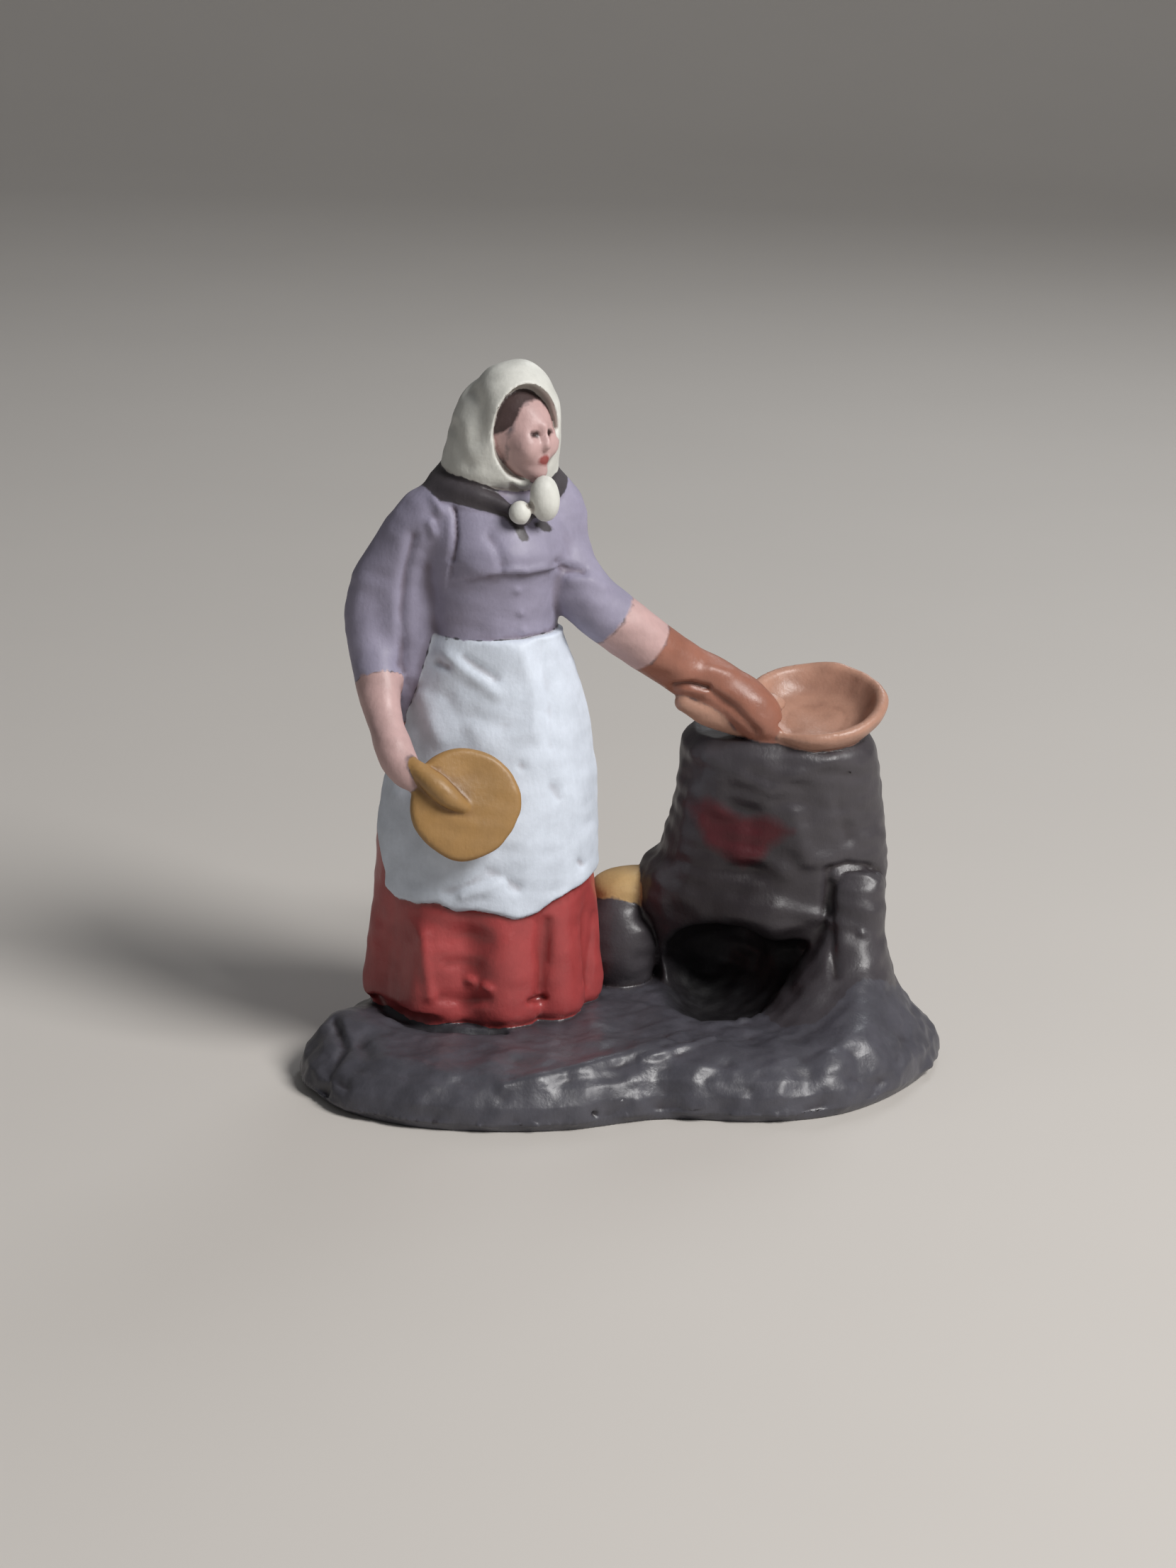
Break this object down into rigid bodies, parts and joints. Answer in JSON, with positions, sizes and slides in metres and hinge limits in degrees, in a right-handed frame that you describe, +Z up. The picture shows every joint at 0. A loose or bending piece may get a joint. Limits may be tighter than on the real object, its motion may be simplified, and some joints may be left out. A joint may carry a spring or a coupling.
{
  "type": "painted terracotta nativity figure of a woman at a stove",
  "caption": "Small painted clay figure of a woman in headscarf and apron, with a straw fan, holding a pan on a rough stove, all on one ground slab.",
  "frame": {"origin": "on the table under the ground slab, at the centre of the figure's box", "axes": "+Z up, -Y towards the front where the fan and the fire hole face, +X from the woman towards the stove"},
  "size_m": [0.0558, 0.0366, 0.0612],
  "materials": {
    "painted_terracotta": "fired clay under satin hand-brushed paint"
  },
  "bodies": {
    "root": {"woman_at_stove": "painted_terracotta"}
  },
  "joints": []
}
